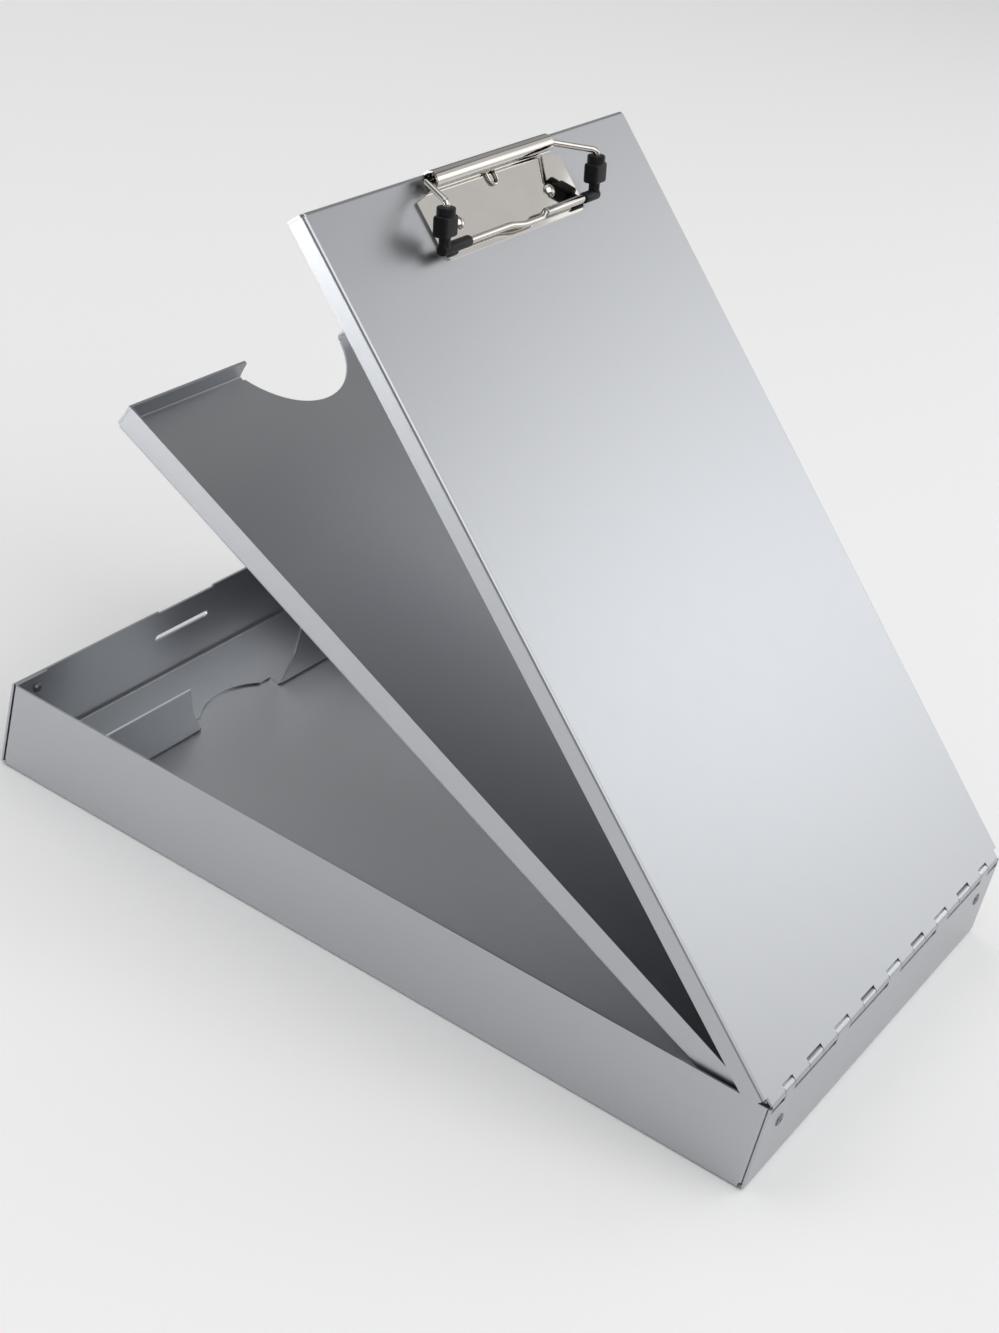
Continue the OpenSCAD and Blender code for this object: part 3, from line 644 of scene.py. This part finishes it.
class MakeBail(bpy.types.Operator):
    """Bend the two halves of the wire bail and push the sleeve over them"""
    bl_idname = "clipboard.make_bail"
    bl_label = "Bend bail"

    ROUGHNESS = 0.06
    # How far the wire runs into the barrel, and clears its end outside
    IN_BARREL = 0.0164
    OFF_BARREL = 0.0025
    # Where the left half's bar steps forward, measured from the middle
    STEP_STARTS = -0.009
    STEP_ENDS = 0.0
    # How far before the sleeve's mouth it starts and ends its way back
    RETURN_STARTS = 0.0043
    RETURN_ENDS = 0.0012
    # Where each half ends inside the sleeve, measured from the sleeve's mouth
    LEFT_END = 0.011
    RIGHT_END = 0.012
    # Radii of the bends, in order: barrel's end, hump and corner, then the bar's step
    ARM_BENDS = (0.0024, 0.002, 0.003)
    BAR_BENDS = (0.03, 0.03, 0.004, 0.004)
    # The sleeve runs a little into the right grip's collar
    SLEEVE_LAP = 0.0016
    SLEEVE_BEVEL = 0.0003
    SLEEVE_SIDES = 28

    def execute(self, context):
        sizes = sizes_now()
        plating = bright_plating("plated wire", colours_now().plating, self.ROUGHNESS)
        left = bent_wire("bail_left_half", sizes.wire_radius,
                         self.arm(sizes) + self.stepped_bar(sizes),
                         self.ARM_BENDS + self.BAR_BENDS)
        right_end = (-sizes.sleeve_from - self.RIGHT_END, -sizes.bail_reach,
                     sizes.bar_height)
        right = bent_wire("bail_right_half", sizes.wire_radius, self.arm(sizes) + [right_end],
                          self.ARM_BENDS)
        mirror_over(right)
        closed_up(right)
        smooth(right, WIRE_SMOOTHING)
        sleeve = self.sleeve(sizes)
        for piece, node in ((left, "bail_left_wire"), (right, "bail_right_wire"),
                            (sleeve, "bail_sleeve")):
            to_clip(piece, sizes)
            finish_piece(piece, "bail", [node], plating)
        return {"FINISHED"}

    def arm(self, sizes):
        """The left arm: from inside the barrel, over the hump and down to the front corner."""
        return [(-sizes.barrel_half + self.IN_BARREL, 0.0, sizes.barrel_radius),
                (-(sizes.barrel_half + self.OFF_BARREL), 0.0, sizes.barrel_radius),
                (-sizes.bail_half, -sizes.hump_reach, sizes.hump_height),
                (-sizes.bail_half, -sizes.bail_reach, sizes.bar_height)]

    def stepped_bar(self, sizes):
        """The left half's bar, which steps forward and comes back before the sleeve."""
        y, bar, edge = -sizes.bail_reach, sizes.bar_height, sizes.sleeve_from
        out = y - sizes.kink
        return [(self.STEP_STARTS, y, bar), (self.STEP_ENDS, out, bar),
                (edge - self.RETURN_STARTS, out, bar), (edge - self.RETURN_ENDS, y, bar),
                (edge + self.LEFT_END, y, bar)]

    def sleeve(self, sizes):
        """The tube over the ends of both halves."""
        end = sizes.bail_half - sizes.right_collar + self.SLEEVE_LAP
        tube = rod("bail_sleeve_tube", sizes.sleeve_radius,
                   (sizes.sleeve_from, -sizes.bail_reach, sizes.bar_height),
                   (end, -sizes.bail_reach, sizes.bar_height), sides=self.SLEEVE_SIDES,
                   bevel=self.SLEEVE_BEVEL)
        smooth(tube, TURNED_SMOOTHING)
        return tube


class MakeGrips(bpy.types.Operator):
    """Mould the two black grips around the bail's front corners"""
    bl_idname = "clipboard.make_grips"
    bl_label = "Mould grips"

    NECK_RADIUS = 0.00225
    # Places and length along the arm, as shares of the way from the corner to the hump
    NECK_ENDS = 0.30
    BODY_MIDDLE = 0.5
    BODY_LENGTH = 0.46
    RING_STARTS = 0.70
    RING_ENDS = 0.895
    COLLAR_BEVEL = 0.0007
    BODY_BEVEL = 0.0012
    RING_BEVEL = 0.0006

    def execute(self, context):
        sizes = sizes_now()
        plastic = moulded_plastic("moulded grip", colours_now().grip)
        for collar_length, node, name in (
                (sizes.left_collar, "left_grip", "grip_left_moulding"),
                (sizes.right_collar, "right_grip", "grip_right_moulding")):
            grip = joined(self.left_grip(sizes, collar_length), name)
            if node == "right_grip":
                mirror_over(grip)
            closed_up(grip)
            smooth(grip, TURNED_SMOOTHING)
            to_clip(grip, sizes)
            finish_piece(grip, "bail", [node], plastic)
        return {"FINISHED"}

    def left_grip(self, sizes, collar_length):
        """The collar, neck, ring and body of a grip on the left corner."""
        rise = sizes.hump_height - sizes.bar_height
        run = sizes.bail_reach - sizes.hump_reach
        length = math.hypot(rise, run)
        up = Vector((0.0, run / length, rise / length))
        corner = Vector((-sizes.bail_half, -sizes.bail_reach, sizes.bar_height))
        collar = rod("collar", sizes.collar_radius,
                     corner - Vector((sizes.collar_radius, 0, 0)),
                     corner + Vector((collar_length, 0, 0)), sides=36, bevel=self.COLLAR_BEVEL)
        neck = rod("neck", self.NECK_RADIUS, corner, corner + up * (length * self.NECK_ENDS),
                   sides=32)
        ring = rod("ring", sizes.ring_radius, corner + up * (length * self.RING_STARTS),
                   corner + up * (length * self.RING_ENDS), sides=40, bevel=self.RING_BEVEL)
        start_clean()
        bpy.ops.mesh.primitive_cube_add(
            size=1.0, location=corner + up * (length * self.BODY_MIDDLE), rotation=facing(up))
        body = named("body")
        body.scale = (sizes.grip_width, sizes.grip_thickness, length * self.BODY_LENGTH)
        apply_place()
        round_edges(body, self.BODY_BEVEL, segments=4)
        return [collar, neck, ring, body]


class SetStage(bpy.types.Operator):
    """Lay the floor and set the lights, the world and the camera"""
    bl_idname = "clipboard.set_stage"
    bl_label = "Set stage"

    FLOOR_SIZE = 14.0
    WORLD_STRENGTH = 0.22
    # The point that all panels face
    AIM = (0.0, 0.0, 0.12)
    # Soft panels: name, place, width, height and power
    PANELS = (("right panel", (1.75, -0.95, 0.75), 1.2, 0.9, 2.3),
              ("small right panel", (1.66, -1.03, 0.88), 0.5, 0.5, 0.6),
              ("wide right panel", (1.75, -0.95, 0.85), 2.2, 1.6, 6.2),
              ("right back panel", (1.8, 0.85, 1.15), 1.0, 0.8, 0.5),
              ("high front panel", (-0.2, -1.25, 2.3), 3.0, 3.0, 44.0),
              ("high back panel", (0.25, 1.6, 2.3), 3.0, 2.8, 24.0),
              ("low left panel", (-0.85, 0.75, 0.16), 0.7, 0.3, 4.4))
    # The photograph's camera: place, turn about X, Y and Z in degrees, and lens
    CAMERA_PLACE = (-0.829998, -0.354754, 0.596598)
    CAMERA_TURN = (59.7811, -12.6582, -58.3539)
    CAMERA_LENS = 67.262
    CAMERA_SENSOR = 36.0

    def execute(self, context):
        start_clean()
        bpy.ops.mesh.primitive_plane_add(size=self.FLOOR_SIZE, location=(0.0, 0.0, 0.0))
        floor = named("floor")
        coat(floor, pale_floor(colours_now().floor))
        for name, place, width, height, power in self.PANELS:
            self.light(name, place, width, height, power)
        self.world(context)
        self.camera(context)
        context.scene.view_settings.view_transform = "Standard"
        return {"FINISHED"}

    def light(self, name, place, width, height, power):
        """A soft panel that faces the middle of the box."""
        start_clean()
        aim = (Vector(self.AIM) - Vector(place)).to_track_quat("-Z", "Y").to_euler()
        bpy.ops.object.light_add(type="AREA", location=place, rotation=aim)
        lamp = bpy.context.object
        lamp.name = name
        lamp.data.shape = "RECTANGLE"
        lamp.data.size = width
        lamp.data.size_y = height
        lamp.data.energy = power
        lamp.visible_camera = False

    def world(self, context):
        """An even white glow all round."""
        world = bpy.data.worlds.new("pale room")
        context.scene.world = world
        world.use_nodes = True
        background = next(n for n in world.node_tree.nodes if n.type == "BACKGROUND")
        background.inputs["Color"].default_value = (1.0, 1.0, 1.0, 1.0)
        background.inputs["Strength"].default_value = self.WORLD_STRENGTH

    def camera(self, context):
        """The camera at the photograph's viewing angle."""
        start_clean()
        turn = [math.radians(angle) for angle in self.CAMERA_TURN]
        bpy.ops.object.camera_add(location=self.CAMERA_PLACE, rotation=turn)
        camera = bpy.context.object
        camera.name = "photo camera"
        camera.data.sensor_width = self.CAMERA_SENSOR
        camera.data.lens = self.CAMERA_LENS
        camera.data.clip_start = 0.01
        camera.data.clip_end = 50.0
        context.scene.camera = camera


class CLIPBOARD_PT_pieces(bpy.types.Panel):
    """The steps that dress the box, in order"""
    bl_label = "Clipboard box"
    bl_idname = "CLIPBOARD_PT_pieces"
    bl_space_type = "VIEW_3D"
    bl_region_type = "UI"
    bl_category = "Clipboard box"

    def draw(self, context):
        column = self.layout.column()
        for step in STEPS:
            column.operator(step.bl_idname)
        for name in ClipboardSizes.__annotations__:
            column.prop(context.scene.clipboard_sizes, name)
        for name in ClipboardColours.__annotations__:
            column.prop(context.scene.clipboard_colours, name)


STEPS = (DressSheets, DressFasteners, DressClipPlate, MakeSpring, MakeBail, MakeGrips, SetStage)
CLASSES = (ClipboardSizes, ClipboardColours, *STEPS, CLIPBOARD_PT_pieces)


def register():
    """Makes the settings, the steps and the panel known to Blender."""
    for cls in CLASSES:
        bpy.utils.register_class(cls)
    bpy.types.Scene.clipboard_sizes = bpy.props.PointerProperty(type=ClipboardSizes)
    bpy.types.Scene.clipboard_colours = bpy.props.PointerProperty(type=ClipboardColours)


def unregister():
    """Takes them away again, in the opposite order."""
    del bpy.types.Scene.clipboard_colours
    del bpy.types.Scene.clipboard_sizes
    for cls in reversed(CLASSES):
        bpy.utils.unregister_class(cls)


def main():
    """Runs the steps in order."""
    register()
    bpy.ops.clipboard.dress_sheets()
    bpy.ops.clipboard.dress_fasteners()
    bpy.ops.clipboard.dress_clip_plate()
    bpy.ops.clipboard.make_spring()
    bpy.ops.clipboard.make_bail()
    bpy.ops.clipboard.make_grips()
    bpy.ops.clipboard.set_stage()


if __name__ == "__main__":
    main()
